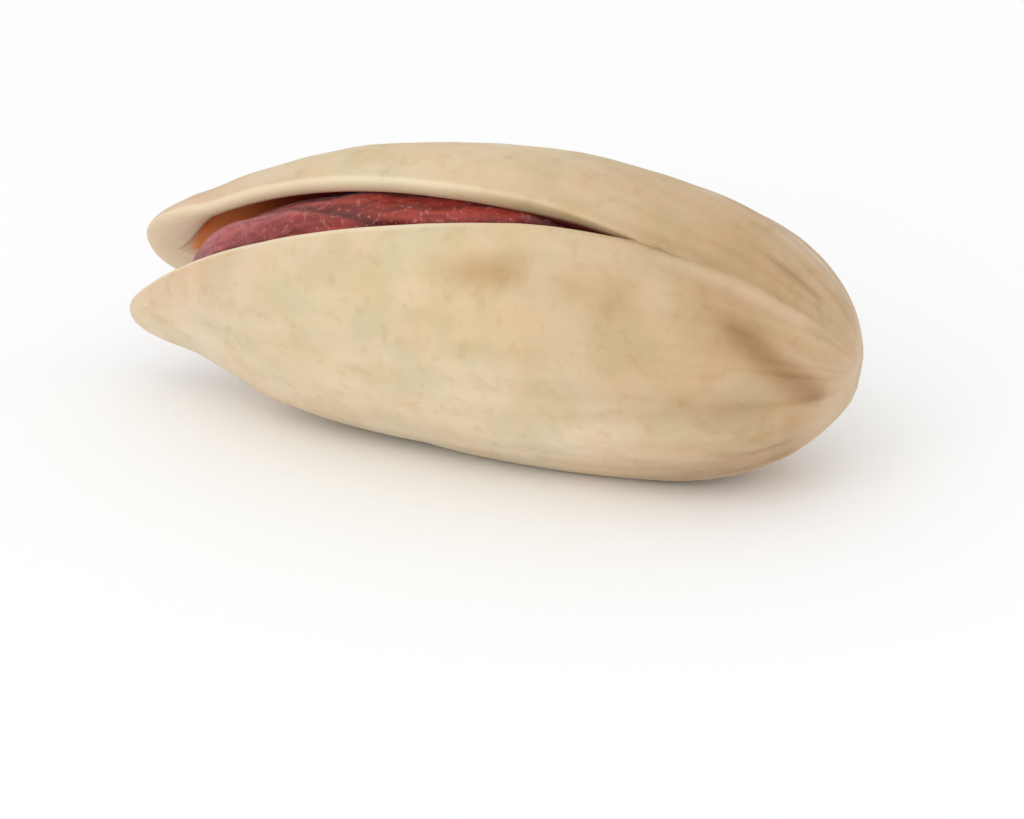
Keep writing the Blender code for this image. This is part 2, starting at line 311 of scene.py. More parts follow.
# Camera, lights and floor. The sensor's width is in millimetres, and only its ratio to the lens matters.
CAMERA_AZIMUTH = math.radians(23.6)
CAMERA_ELEVATION = math.radians(22.0)
CAMERA_DISTANCE = 450.0 * MM
CAMERA_NEAREST = 10.0 * MM
CAMERA_SENSOR = 36.0
VIEW_WIDTH = 28.94 * MM
VIEW_CENTRE_RIGHT = 0.48 * MM
VIEW_CENTRE_UP = -2.57 * MM
FLOOR_SIZE = 2.4
LIGHT_SIZE = 0.5
LIGHT_DISTANCE = 0.5
LIGHT_AZIMUTH = math.radians(5.0)
LIGHT_ELEVATION = math.radians(38.0)
LIGHT_POWER = 0.75
SKY_WHITE = (1.0, 1.0, 1.0, 1.0)
SKY_STRENGTH = 0.9

# Surface marks kept on each point of the meshes, for the materials and the fine relief
SHELL_MARKS = ("along", "lip", "inside", "depth", "relief", "brown", "tan", "pale")
KERNEL_MARKS = ("relief", "furrow")


# Shape of the nut


def bell(value, middle, width):
    """A smooth hump, 1 at the middle and near 0 two widths away."""
    return np.exp(-((value - middle) / width) ** 2)


def ramp(value, start, end):
    """A straight rise from 0 at start to 1 at end, and level beyond them."""
    return np.clip((value - start) / (end - start), 0.0, 1.0)


def line_height(line, along, beak, beak_share, neck):
    """Distance of an outline from the long axis at a fraction of the length, 0 stem to 1 tip."""
    before = np.clip(1.0 - along / line.peak, 0.0, 1.0)
    after = ramp(along, line.peak, 1.0)
    stem_side = (1.0 - before ** line.blunt) ** (1.0 / line.blunt)
    tip_side = (1.0 - after ** line.taper) ** line.point
    body = line.height * np.where(along < line.peak, stem_side, tip_side)
    body = body * (1.0 + neck * bell(along, NECK, NECK_WIDTH))
    past_beak = along - 1.0 + beak.length
    end = (1.0 - np.clip(past_beak / beak.length, 0.0, 1.0) ** beak.blunt) ** (1.0 / beak.blunt)
    nub = beak_share * line.nub * end * bell(np.minimum(past_beak, 0.0), 0.0, BEAK_FADE)
    return np.cbrt(body ** 3 + nub ** 3)


def split_share(split, along):
    """How far a split has opened there, from 0 to 1."""
    return np.sin(0.5 * np.pi * ramp(along, split.start, split.full)) ** split.growth


def half_opening(along, around):
    """How far a valve has moved away from the seam plane."""
    front = split_share(FRONT_SPLIT, along) * 0.5 * (1.0 + np.cos(around))
    back = split_share(BACK_SPLIT, along) * 0.5 * (1.0 - np.cos(around))
    return 0.5 * SPLIT_WIDTH * (front + back)


def rib_angle(along, height, breadth):
    """Angle round the line from the stem scar to the tip, which the ribs follow."""
    return np.arctan2(breadth, height + STEM_SCAR_DROP * (1.0 - along))


def shell_relief(along, around, height, breadth):
    """Height of the grooved seam ridge and of the low ribs that fan out from the stem scar."""
    from_seam = np.minimum(around, np.pi - around)
    closed = 1.0 - split_share(FRONT_SPLIT, along) * (around < 0.5 * np.pi)
    ridge = SEAM_RIDGE * bell(from_seam, 0.0, SEAM_RIDGE_WIDTH) * closed
    near_split = bell(along, FRONT_SPLIT.start, SEAM_GROOVE_REACH) * (around < 0.5 * np.pi)
    groove = SEAM_GROOVE * bell(from_seam, 0.0, SEAM_GROOVE_WIDTH) * closed * near_split
    angle = rib_angle(along, height, breadth)
    ribs = RIB_HEIGHT * np.cos(2.0 * RIBS_PER_VALVE * angle) * np.sin(angle) ** 2
    low_ribs = ribs * bell(along, RIB_PEAK, RIB_REACH)
    return (ridge - groove + low_ribs) * np.clip(along / RELIEF_START, 0.0, 1.0)


def cross_section(along, around, beak=PLAIN_BEAK, neck=0.0):
    """Height and breadth of a section: half an ellipse towards the split and another towards the back."""
    to_split = line_height(SPLIT_EDGE_LINE, along, beak, beak.height, 0.0)
    to_back = line_height(BACK_LINE, along, beak, beak.height, neck)
    height = np.where(np.cos(around) > 0.0, to_split, to_back) * np.cos(around)
    return height, line_height(BREADTH_LINE, along, beak, beak.breadth, neck) * np.sin(around)


def shrink(height, breadth, depth, least=0.0):
    """Share of its distance from the axis that a point keeps when it moves in by depth.

    It stays at least the distance least from the axis.
    """
    from_axis = np.hypot(height, breadth)
    return np.maximum(from_axis - depth, least) / np.maximum(from_axis, least + WELD)


def soft_shrink(height, breadth, depth, softness):
    """The same share, eased towards the axis so that a hollow has a smooth bottom where it runs out."""
    from_axis = np.hypot(height, breadth)
    left = from_axis - depth
    return 0.5 * (left + np.hypot(left, softness)) / np.maximum(from_axis, WELD)


def round_ends(share, stem_round, tip_round, tip_blunt=0.5):
    """How wide a hollow or a kernel is, as a share, where it closes at share 0 and at share 1.

    A tip_blunt of 0.5 gives a round tip and 1 a shallow pointed one.
    """
    stem = np.clip(1.0 - share / stem_round, 0.0, 1.0)
    tip = np.clip(1.0 - (1.0 - share) / tip_round, 0.0, 1.0)
    return np.sqrt(1.0 - stem ** 2) * (1.0 - tip ** 2) ** tip_blunt


def length_at(along):
    """Place along the long axis, from the middle of the nut towards the stem."""
    return SHELL_LENGTH * (0.5 - along)


def open_valve(valve, along, around, length, height, breadth):
    """Move a point of the closed shell to its place on a valve that has swung open."""
    lift = valve.lift * ramp(along, LIFT_START, 1.0) ** 2
    return np.stack([length, height + lift, valve.side * (breadth + half_opening(along, around))], -1)


def outer_face(along, around, valve):
    """Outer face of one valve."""
    height, breadth = cross_section(along, around, valve.beak, valve.neck)
    swell = 1.0 + shell_relief(along, around, height, breadth) / np.maximum(np.hypot(height, breadth), MM)
    from_scar = np.hypot(height + STEM_SCAR_DROP, breadth)
    scar = 1.0 + np.cos(np.pi * np.clip(from_scar / STEM_SCAR_RADIUS, 0.0, 1.0))
    length = length_at(along) - 0.5 * STEM_SCAR_DEPTH * scar * (along < RELIEF_START)
    return open_valve(valve, along, around, length, height * swell, breadth * swell)


def inner_face(share, around, valve):
    """Inner face of one valve. share runs from 0 at the hollow's stem end to 1 at its tip end.

    It opens with the outer face, row for row, so that both faces part at the same lip.
    """
    first = STEM_WALL / SHELL_LENGTH
    last = 1.0 - BEAK_WALL / SHELL_LENGTH
    along = first + (last - first) * share
    height, breadth = cross_section(along, around)
    ends = round_ends(share, HOLLOW_STEM_ROUND, HOLLOW_TIP_ROUND, HOLLOW_TIP_BLUNT)
    scale = soft_shrink(height, breadth, WALL, HOLLOW_EASE) * ends
    return open_valve(valve, share, around, length_at(along), height * scale, breadth * scale)


def lip_sheet(outer_edge, inner_edge, bulge, side):
    """The rounded edge of a valve, an arch from its outer to its inner face."""
    turn = np.linspace(0.0, np.pi, LIP_STRIPS + 1)[None, :, None]
    middle = 0.5 * (outer_edge + inner_edge)[:, None, :]
    half = 0.5 * (outer_edge - inner_edge)[:, None, :]
    grid = middle + half * np.cos(turn)
    grid[:, :, 2] -= side * bulge[:, None] * np.sin(turn[:, :, 0])
    return grid


def wrinkle_depth(share, around):
    """Depth of lengthwise furrows that sway from side to side and fade out at both ends."""
    sway = WRINKLE_SWAY * np.sin(WRINKLE_BENDS * np.pi * share + WRINKLE_SHIFT * around)
    ridge = np.abs(np.sin(0.5 * WRINKLES_AROUND * around + sway))
    return WRINKLE_DEPTH * (1.0 - ridge) ** 2 * np.sin(np.pi * share)


def kernel_face(share, around):
    """Surface of the kernel. share runs from 0 at its stem end to 1 at its tip end."""
    along = KERNEL_FIRST + (KERNEL_LAST - KERNEL_FIRST) * share
    height, breadth = cross_section(along, around)
    from_slit = np.arctan2(np.abs(np.sin(around)), np.cos(around))
    in_slit = bell(from_slit, 0.0, SLIT_FILL_ANGLE) * np.sin(np.pi * share)
    clearance = KERNEL_CLEARANCE + (SLIT_CLEARANCE - KERNEL_CLEARANCE) * in_slit
    spread_share = KERNEL_SPREAD + (SLIT_SPREAD - KERNEL_SPREAD) * in_slit
    depth = WALL + clearance + wrinkle_depth(share, around)
    ends = round_ends(share, KERNEL_STEM_ROUND, KERNEL_TIP_ROUND)
    scale = shrink(height, breadth, depth, KERNEL_LEAST) * ends
    opening = half_opening(along, 0.5 * np.pi) * ends
    crest = KERNEL_CREST * opening * bell(from_slit, 0.0, KERNEL_CREST_WIDTH)
    wider = spread_share * opening * np.sin(around)
    return np.stack([length_at(along), height * scale + crest, breadth * scale + wider], -1)


def lay_down(points):
    """Turn points from the nut's own axes to the way it lies, and set it down on its flat spot."""
    turn = np.array(Euler((0.5 * math.pi + ROLL, PITCH, 0.0)).to_matrix())
    placed = points @ turn.T + NUT_MIDDLE
    placed[..., 2] = np.maximum(placed[..., 2], 0.0)
    return placed


# Marks on the shell that its material reads


def free_share(along, split):
    """How free the edge of a valve is from the other valve, from 0 to 1."""
    return np.clip((along - split.start) / LIP_ROUND_REACH, 0.0, 1.0)


def lip_marks(along, around, edge):
    """How near each point is to a free lip, from 0 to 1, and its distance from the nearest one."""
    height, breadth = cross_section(along, around)
    lip = np.zeros_like(along)
    distance = np.full_like(along, SHELL_LENGTH)
    for split, edge_angle in ((FRONT_SPLIT, 0.0), (BACK_SPLIT, np.pi)):
        free = free_share(along, split)
        away = np.abs(around - edge_angle) * np.hypot(height, breadth)
        lip = np.maximum(lip, free * bell(away, 0.0, edge))
        distance = np.minimum(distance, away + CLOSED_DISTANCE * (1.0 - free))
    return lip, distance


def relief_share(along, around, outer):
    """How much of the fine relief shows, from 0 to 1, on the outer face of a valve."""
    height, breadth = cross_section(along, around)
    from_scar = np.sqrt((height + STEM_SCAR_DROP) ** 2 + breadth ** 2 + (along * SHELL_LENGTH) ** 2)
    away_from_scar = np.clip(from_scar / SCAR_FADE, 0.0, 1.0)
    above_floor = np.clip(lay_down(outer)[..., 2] / FLOOR_FADE, 0.0, 1.0)
    before_tip = np.clip((1.0 - along) / TIP_FADE, 0.0, 1.0)
    return away_from_scar * above_floor * before_tip


def along_segment(points, start, end):
    """How far along a straight line each point is, from 0 to 1, and its distance from the line."""
    step = end - start
    share = np.clip((points - start) @ step / (step @ step), 0.0, 1.0)
    return share, np.linalg.norm(points - start - share[..., None] * step, axis=-1)


def mark_strength(points, valve, marks):
    """How strongly some marks colour each point of a valve, from 0 to 1.

    A mark grows from nothing at the first point of its path to its full strength and width at the second.
    """
    strength = np.zeros(points.shape[:-1])
    for mark in marks:
        if mark.side != valve.side:
            continue
        along, around = np.array(mark.path).T
        path = outer_face(along, around, valve)
        for number, (start, end) in enumerate(zip(path[:-1], path[1:])):
            share, away = along_segment(points, start, end)
            grown = np.minimum(number + share, 1.0)
            width = mark.width * (TAPER + (1.0 - TAPER) * grown)
            strength = np.maximum(strength, mark.strength * grown * bell(away, 0.0, width))
    return strength


# Meshes


def shell_stations():
    """Fractions of the length, closer together at both ends, with one at the start of each split."""
    quarter = 0.5 * np.pi
    stem = FRONT_SPLIT.start * (1.0 - np.cos(np.linspace(0.0, quarter, STEM_ROWS + 1)))
    middle = np.linspace(FRONT_SPLIT.start, BACK_SPLIT.start, MIDDLE_ROWS + 1)
    tip = BACK_SPLIT.start + (1.0 - BACK_SPLIT.start) * np.sin(np.linspace(0.0, quarter, TIP_ROWS + 1))
    return np.concatenate([stem, middle[1:], tip[1:]])


def shell_columns():
    """Angles from the split edge to the back seam, closer together at both."""
    even = np.linspace(0.0, 1.0, VALVE_COLUMNS + 1)
    return 0.5 * np.pi * (even + 0.5 - 0.5 * np.cos(np.pi * even))


def meridian_place(along, angle, side):
    """A place whose first number runs along the nut and whose others go round it."""
    return np.stack([along, np.cos(angle), side * np.sin(angle)], -1)


class Skin:
    """Points, faces and surface marks of a mesh that is welded once all its sheets are in place."""

    def __init__(self, mark_names):
        self.points = []
        self.faces = []
        self.meridians = []
        self.marks = {name: [] for name in mark_names}

    def add_sheet(self, grid, meridian, **marks):
        """Add a grid of points, given as rows by columns, the faces between them and their marks."""
        rows, columns = grid.shape[:2]
        first = sum(len(points) for points in self.points)
        corner = first + np.arange(rows - 1)[:, None] * columns + np.arange(columns - 1)
        around_face = [corner, corner + 1, corner + columns + 1, corner + columns]
        self.faces.append(np.stack(around_face, -1).reshape(-1, 4))
        self.points.append(grid.reshape(-1, 3))
        self.meridians.append(np.broadcast_to(meridian, grid.shape).reshape(-1, 3))
        for name, values in self.marks.items():
            mark = np.asarray(marks.get(name, 0.0))
            values.append(np.broadcast_to(mark, (rows, columns)).ravel())


def add_lips(skin, valve, stations, outer, inner, place, lip, relief):
    """Join the outer and inner faces of a valve with a rounded lip along each split."""
    inside = np.linspace(0.0, 1.0, LIP_STRIPS + 1)[None, :]
    for column, row, split in ((0, STEM_ROWS, FRONT_SPLIT), (-1, STEM_ROWS + MIDDLE_ROWS, BACK_SPLIT)):
        free = stations[row:]
        flatter = LIP_FLAT_SHARE * ramp(free, LIP_FLAT_START, 1.0)
        bulge = LIP_ROUND * free_share(free, split) * (1.0 - flatter)
        skin.add_sheet(
            lip_sheet(outer[row:, column], inner[row:, column], bulge, valve.side),
            place[row:, column][:, None],
            along=free[:, None],
            lip=lip[row:, column][:, None] * (1.0 - inside ** 3),
            inside=inside,
            relief=relief[row:, column][:, None] * (1.0 - inside),
        )


def shell_skin():
    """Both valves, each with an outer face, an inner face and its lips."""
    stations = shell_stations()
    along, around = np.meshgrid(stations, shell_columns(), indexing="ij")
    at_tip = ramp(along, PALE_TIP_START, 1.0)
    lip = lip_marks(along, around, LIP_EDGE)[0]
    inner_lip, distance = lip_marks(along, around, LIP_EDGE_INSIDE)
    depth = np.clip((distance - PALE_TIP * at_tip) / LINING_DEPTH, 0.0, 1.0)
    angle = rib_angle(along, *cross_section(along, around))
    skin = Skin(SHELL_MARKS)
    for valve in (FRONT_VALVE, REAR_VALVE):
        outer = outer_face(along, around, valve)
        inner = inner_face(along, around, valve)
        relief = relief_share(along, around, outer)
        place = meridian_place(along, angle, valve.side)
        skin.add_sheet(
            outer,
            place,
            along=along,
            lip=lip,
            relief=relief,
            brown=mark_strength(outer, valve, BROWN_MARKS),
            tan=mark_strength(outer, valve, TAN_MARKS),
            pale=mark_strength(outer, valve, PALE_MARKS),
        )
        skin.add_sheet(inner, place, along=along, lip=inner_lip * at_tip, inside=1.0, depth=depth)
        add_lips(skin, valve, stations, outer, inner, place, lip, relief)
    return skin


def kernel_skin():
    """The kernel, one sheet that closes round it and at both ends."""
    stations = 0.5 * (1.0 - np.cos(np.linspace(0.0, np.pi, KERNEL_ROWS + 1)))
    columns = np.linspace(0.0, 2.0 * np.pi, KERNEL_COLUMNS + 1)
    share, around = np.meshgrid(stations, columns, indexing="ij")
    skin = Skin(KERNEL_MARKS)
    skin.add_sheet(
        kernel_face(share, around),
        meridian_place(share, around, 1.0),
        relief=np.sin(np.pi * share),
        furrow=wrinkle_depth(share, around) / WRINKLE_DEPTH,
    )
    return skin


def make_piece(name, skin):
    """Weld the sheets of a skin into one closed piece whose faces point outwards."""
    mesh = bpy.data.meshes.new(name)
    points = lay_down(np.concatenate(skin.points))
    mesh.from_pydata(points.tolist(), [], np.concatenate(skin.faces).tolist())
    meridian = mesh.attributes.new("meridian", "FLOAT_VECTOR", "POINT")
    meridian.data.foreach_set("vector", np.concatenate(skin.meridians).ravel())
    for mark_name, values in skin.marks.items():
        mark = mesh.attributes.new(mark_name, "FLOAT", "POINT")
        mark.data.foreach_set("value", np.concatenate(values))
    body = bmesh.new()
    body.from_mesh(mesh)
    bmesh.ops.remove_doubles(body, verts=body.verts, dist=WELD)
    bmesh.ops.recalc_face_normals(body, faces=body.faces)
    body.to_mesh(mesh)
    body.free()
    mesh.shade_smooth()
    piece = bpy.data.objects.new(name, mesh)
    bpy.context.scene.collection.objects.link(piece)
    return piece


# Node trees


def add_node(tree, kind, inputs=None, **settings):
    """Add a node. inputs gives a value, or another node's output, for each input by name or number."""
    node = tree.nodes.new(kind)
    for name, value in settings.items():
        setattr(node, name, value)
    for name, value in (inputs or {}).items():
        if isinstance(value, bpy.types.NodeSocket):
            tree.links.new(value, node.inputs[name])
        else:
            node.inputs[name].default_value = value
    return node


def maths(tree, operation, first, second):
    return add_node(tree, "ShaderNodeMath", {0: first, 1: second}, operation=operation).outputs[0]


def vector_maths(tree, operation, inputs):
    return add_node(tree, "ShaderNodeVectorMath", inputs, operation=operation).outputs[0]


def three_numbers(tree, first, second, third):
    return add_node(tree, "ShaderNodeCombineXYZ", {0: first, 1: second, 2: third}).outputs[0]


def remap(tree, value, low, high, to_low=0.0, to_high=1.0):
    """Ease a value from one range to another."""
    inputs = {"Value": value, "From Min": low, "From Max": high, "To Min": to_low, "To Max": to_high}
    return add_node(tree, "ShaderNodeMapRange", inputs, interpolation_type="SMOOTHSTEP").outputs[0]


def mix_colours(tree, factor, first, second, blend="MIX"):
    """Blend two colours. Numbers 0, 6 and 7 are the node's factor and its two colour inputs."""
    inputs = {0: factor, 6: first, 7: second}
    return add_node(tree, "ShaderNodeMix", inputs, data_type="RGBA", blend_type=blend).outputs[2]


def read_mark(tree, name, output="Fac"):
    return add_node(tree, "ShaderNodeAttribute", attribute_name=name).outputs[output]


def noise(tree, coordinates, size, detail, roughness=0.5, seed=0.0):
    """Cloudy noise whose features are about size across."""
    scaled = vector_maths(tree, "DIVIDE", {0: coordinates, 1: three_numbers(tree, size, size, size)})
    inputs = {"Vector": scaled, "W": seed, "Scale": 1.0, "Detail": detail, "Roughness": roughness}
    return add_node(tree, "ShaderNodeTexNoise", inputs, noise_dimensions="4D").outputs[0]


def meridian_noise(tree, meridian, stretch, count, detail, seed):
    """Noise that is drawn out along the nut and closes up towards its ends."""
    scale = three_numbers(tree, stretch, count, count)
    place = vector_maths(tree, "MULTIPLY", {0: meridian, 1: scale})
    return noise(tree, place, 1.0, detail, seed=seed)


def new_group(name, kind, inputs, outputs):
    """Start a node group. inputs and outputs are (name, socket kind) pairs."""
    tree = bpy.data.node_groups.new(name, kind)
    for socket_name, socket_kind in inputs:
        tree.interface.new_socket(socket_name, in_out="INPUT", socket_type=socket_kind)
    for socket_name, socket_kind in outputs:
        tree.interface.new_socket(socket_name, in_out="OUTPUT", socket_type=socket_kind)
    return tree, tree.nodes.new("NodeGroupInput").outputs, tree.nodes.new("NodeGroupOutput").inputs


def mottle_group():
    """Soft blotches: a mask that is 1 in the blotches and 0 between them."""
    inputs = (
        ("Coordinates", "NodeSocketVector"),
        ("Size", "NodeSocketFloat"),
        ("Detail", "NodeSocketFloat"),
        ("Cover", "NodeSocketFloat"),
        ("Softness", "NodeSocketFloat"),
        ("Seed", "NodeSocketFloat"),
    )
    outputs = (("Mask", "NodeSocketFloat"),)
    tree, given, result = new_group("mottle", "ShaderNodeTree", inputs, outputs)
    cloud = noise(tree, given["Coordinates"], given["Size"], given["Detail"], seed=given["Seed"])
    edge = maths(tree, "SUBTRACT", 1.0, given["Cover"])
    low = maths(tree, "SUBTRACT", edge, given["Softness"])
    high = maths(tree, "ADD", edge, given["Softness"])
    tree.links.new(remap(tree, cloud, low, high), result["Mask"])
    return tree


def meridian_streak_group():
    """Streaks that run along the nut and close up towards its ends."""
    inputs = (
        ("Meridian", "NodeSocketVector"),
        ("Stretch", "NodeSocketFloat"),
        ("Count", "NodeSocketFloat"),
        ("Seed", "NodeSocketFloat"),
    )
    outputs = (("Mask", "NodeSocketFloat"),)
    tree, given, result = new_group("meridian streaks", "ShaderNodeTree", inputs, outputs)
    cloud = meridian_noise(
        tree, given["Meridian"], given["Stretch"], given["Count"], STREAK_DETAIL, given["Seed"]
    )
    tree.links.new(remap(tree, cloud, *STREAK_RANGE), result["Mask"])
    return tree


def fine_skin_group():
    """Height of fine pits and of a finer grain between them, in metres."""
    inputs = (
        ("Coordinates", "NodeSocketVector"),
        ("Pit Size", "NodeSocketFloat"),
        ("Pit Depth", "NodeSocketFloat"),
        ("Grain Size", "NodeSocketFloat"),
        ("Grain Depth", "NodeSocketFloat"),
    )
    outputs = (("Height", "NodeSocketFloat"),)
    tree, given, result = new_group("fine skin", "ShaderNodeTree", inputs, outputs)
    pits = remap(tree, noise(tree, given["Coordinates"], given["Pit Size"], PIT_DETAIL), *PIT_RANGE)
    grain = noise(tree, given["Coordinates"], given["Grain Size"], GRAIN_DETAIL, GRAIN_ROUGHNESS)
    pit_height = maths(tree, "MULTIPLY", pits, given["Pit Depth"])
    grain_height = maths(tree, "MULTIPLY", grain, given["Grain Depth"])
    tree.links.new(maths(tree, "SUBTRACT", grain_height, pit_height), result["Height"])
    return tree


def read_point_value(tree, name, kind):
    """An attribute of the mesh, inside geometry nodes."""
    return add_node(tree, "GeometryNodeInputNamedAttribute", {"Name": name}, data_type=kind).outputs[0]


def grown_relief_tree():
    """Geometry nodes that dent a skin unevenly and furrow it lengthwise, where its relief mark allows."""
    inputs = (
        ("Geometry", "NodeSocketGeometry"),
        ("Dent Size", "NodeSocketFloat"),
        ("Dent Depth", "NodeSocketFloat"),
        ("Furrow Stretch", "NodeSocketFloat"),
        ("Furrow Count", "NodeSocketFloat"),
        ("Furrow Depth", "NodeSocketFloat"),
        ("Seed", "NodeSocketFloat"),
        ("Material", "NodeSocketMaterial"),
    )
    outputs = (("Geometry", "NodeSocketGeometry"),)
    tree, given, result = new_group("grown relief", "GeometryNodeTree", inputs, outputs)
    position = add_node(tree, "GeometryNodeInputPosition").outputs[0]
    dents = noise(tree, position, given["Dent Size"], DENT_DETAIL, seed=given["Seed"])
    dent_height = maths(tree, "MULTIPLY", maths(tree, "SUBTRACT", 0.5, dents), given["Dent Depth"])
    meridian = read_point_value(tree, "meridian", "FLOAT_VECTOR")
    cloud = meridian_noise(
        tree, meridian, given["Furrow Stretch"], given["Furrow Count"], FURROW_DETAIL, given["Seed"]
    )
    furrows = remap(tree, cloud, *FURROW_RANGE)
    furrow_height = maths(tree, "MULTIPLY", maths(tree, "SUBTRACT", 0.5, furrows), given["Furrow Depth"])
    relief = read_point_value(tree, "relief", "FLOAT")
    outwards = maths(tree, "MULTIPLY", maths(tree, "ADD", dent_height, furrow_height), relief)
    normal = add_node(tree, "GeometryNodeInputNormal").outputs[0]
    offset = vector_maths(tree, "SCALE", {0: normal, "Scale": outwards})
    moved = add_node(tree, "GeometryNodeSetPosition", {"Geometry": given["Geometry"], "Offset": offset})
    real = add_node(tree, "GeometryNodeRealizeInstances", {"Geometry": moved.outputs[0]})
    covered = {"Geometry": real.outputs[0], "Material": given["Material"]}
    finished = add_node(tree, "GeometryNodeSetMaterial", covered)
    tree.links.new(finished.outputs[0], result["Geometry"])
    return tree


def apply_relief(piece, tree, unevenness, material):
    """Run the relief tree on a piece with these values and keep the result as its mesh."""
    values = {**unevenness, "Material": material}
    modifier = piece.modifiers.new("grown relief", "NODES")
    modifier.node_group = tree
    for item in tree.interface.items_tree:
        if item.in_out == "INPUT" and item.name in values:
            modifier[item.identifier] = values[item.name]
    depsgraph = bpy.context.evaluated_depsgraph_get()
    finished = bpy.data.meshes.new_from_object(
        piece.evaluated_get(depsgraph), preserve_all_data_layers=True, depsgraph=depsgraph
    )
    piece.modifiers.remove(modifier)
    piece.data = finished
    finished.shade_smooth()


# Materials


def start_material(name, values):
    """A material with its own Principled shader. values are the same all over the surface."""
    material = bpy.data.materials.new(name)
    material.use_nodes = True
    shader = material.node_tree.nodes["Principled BSDF"]
    for socket, value in values.items():
        shader.inputs[socket].default_value = value
    return material, material.node_tree, shader


def read_group(tree, group, place, values, output="Mask"):
    """An output of a node group whose first input is a place on the surface."""
    return add_node(tree, "ShaderNodeGroup", {0: place, **values}, node_tree=group).outputs[output]


def add_bump(tree, shader, height, strength):
    bump = add_node(tree, "ShaderNodeBump", {"Strength": strength, "Distance": 1.0, "Height": height})
    tree.links.new(bump.outputs[0], shader.inputs["Normal"])


def shell_ground(tree, coordinates, along):
    """Cream that turns tan at the stem end and peach at the tip, made paler low down by painted bounce light
    from the floor, and darker and rosier next to the floor by painted contact shade.
    """
    height = add_node(tree, "ShaderNodeSeparateXYZ", {0: coordinates}).outputs[2]
    colour = mix_colours(tree, remap(tree, along, *TAN_END_FADE), CREAM, TAN_END)
    colour = mix_colours(tree, remap(tree, along, *PEACH_TIP_FADE), colour, PEACH_TIP)
    # Painted bounce light: the shell is made paler low down, near the floor.
    low = remap(tree, height, *LOW_BOUNCE_LIGHT_HEIGHT)
    low = maths(tree, "MULTIPLY", low, remap(tree, along, *LOW_BOUNCE_LIGHT_ALONG))
    colour = mix_colours(tree, low, colour, LOW_BOUNCE_LIGHT_CREAM)
    # Painted contact shade: darker and rosier where the shell comes close to the floor.
    return mix_colours(tree, remap(tree, height, *CONTACT_SHADE_HEIGHT), colour, CONTACT_SHADE_ROSE)


def shell_markings(tree, colour, warm, streak):
    """The brown streaks, one of them partly painted contact shade, the tan patches and the pale bands that
    were placed on the valves.
    """
    tan = maths(tree, "MULTIPLY", read_mark(tree, "tan"), remap(tree, warm, *TAN_BY_WARMTH))
    colour = mix_colours(tree, tan, colour, TAN_TINT, "MULTIPLY")
    brown = maths(tree, "MULTIPLY", read_mark(tree, "brown"), remap(tree, streak, *BROWN_BY_STREAK))
    colour = mix_colours(tree, brown, colour, STAIN_AND_SHADE_BROWN)
    pale = maths(tree, "MULTIPLY", read_mark(tree, "pale"), PALE_SHARE)
    return mix_colours(tree, pale, colour, PALE_BAND)


def shell_lining(tree, colour, along):
    """The lining of the hollow, red in the middle and orange with a pale rim at the tip, with painted shade
    that turns it almost black by the stem, where the slit is narrow.
    """
    at_tip = remap(tree, along, *LINING_ORANGE_FADE)
    # Painted shade: towards the stem, where the slit is narrow, the lining is darkened almost to black.
    lining = mix_colours(tree, remap(tree, along, *LINING_RED_FADE), LINING_PAINTED_SHADE, LINING_RED)
    lining = mix_colours(tree, at_tip, lining, LINING_ORANGE)
    rim = maths(tree, "MULTIPLY", remap(tree, read_mark(tree, "depth"), *LINING_RIM_FADE), at_tip)
    lining = mix_colours(tree, rim, lining, LINING_RIM)
    start = remap(tree, along, *LINING_START)
    full = maths(tree, "ADD", start, LINING_BLEND)
    return mix_colours(tree, remap(tree, read_mark(tree, "inside"), start, full), colour, lining)


def shell_material(mottle, streaks, fine_skin):
    """Cream nut shell, mottled and streaked, with its marks, its lining and a pale edge on the lips."""
    material, tree, shader = start_material("nut shell", {"Specular IOR Level": 0.35})
    coordinates = add_node(tree, "ShaderNodeTexCoord").outputs["Object"]
    along = read_mark(tree, "along")

    colour = shell_ground(tree, coordinates, along)
    grey = read_group(tree, mottle, coordinates, GREY_BLOTCHES)
    colour = mix_colours(tree, grey, colour, GREY_TINT, "MULTIPLY")
    warm = read_group(tree, mottle, coordinates, WARM_BLOTCHES)
    colour = mix_colours(tree, warm, colour, WARM_TINT, "MULTIPLY")
    freckles = read_group(tree, mottle, coordinates, FRECKLES)
    colour = mix_colours(tree, freckles, colour, FRECKLE_TINT, "MULTIPLY")

    streak = read_group(tree, streaks, read_mark(tree, "meridian", "Vector"), SHELL_STREAKS)
    streak = maths(tree, "MULTIPLY", streak, read_mark(tree, "relief"))
    streaky = maths(tree, "MULTIPLY", streak, remap(tree, along, *STREAK_FADE))
    colour = mix_colours(tree, streaky, colour, STREAK_TINT, "MULTIPLY")

    colour = shell_markings(tree, colour, warm, streak)
    colour = shell_lining(tree, colour, along)
    lip = maths(tree, "MULTIPLY", read_mark(tree, "lip"), remap(tree, along, *LIP_FADE))
    colour = mix_colours(tree, lip, colour, LIP_CREAM)
    tree.links.new(colour, shader.inputs["Base Color"])
    tree.links.new(remap(tree, warm, *SHELL_ROUGHNESS), shader.inputs["Roughness"])
    pores = read_group(tree, fine_skin, coordinates, SHELL_PORES, "Height")
    add_bump(tree, shader, pores, SHELL_BUMP)
    return material


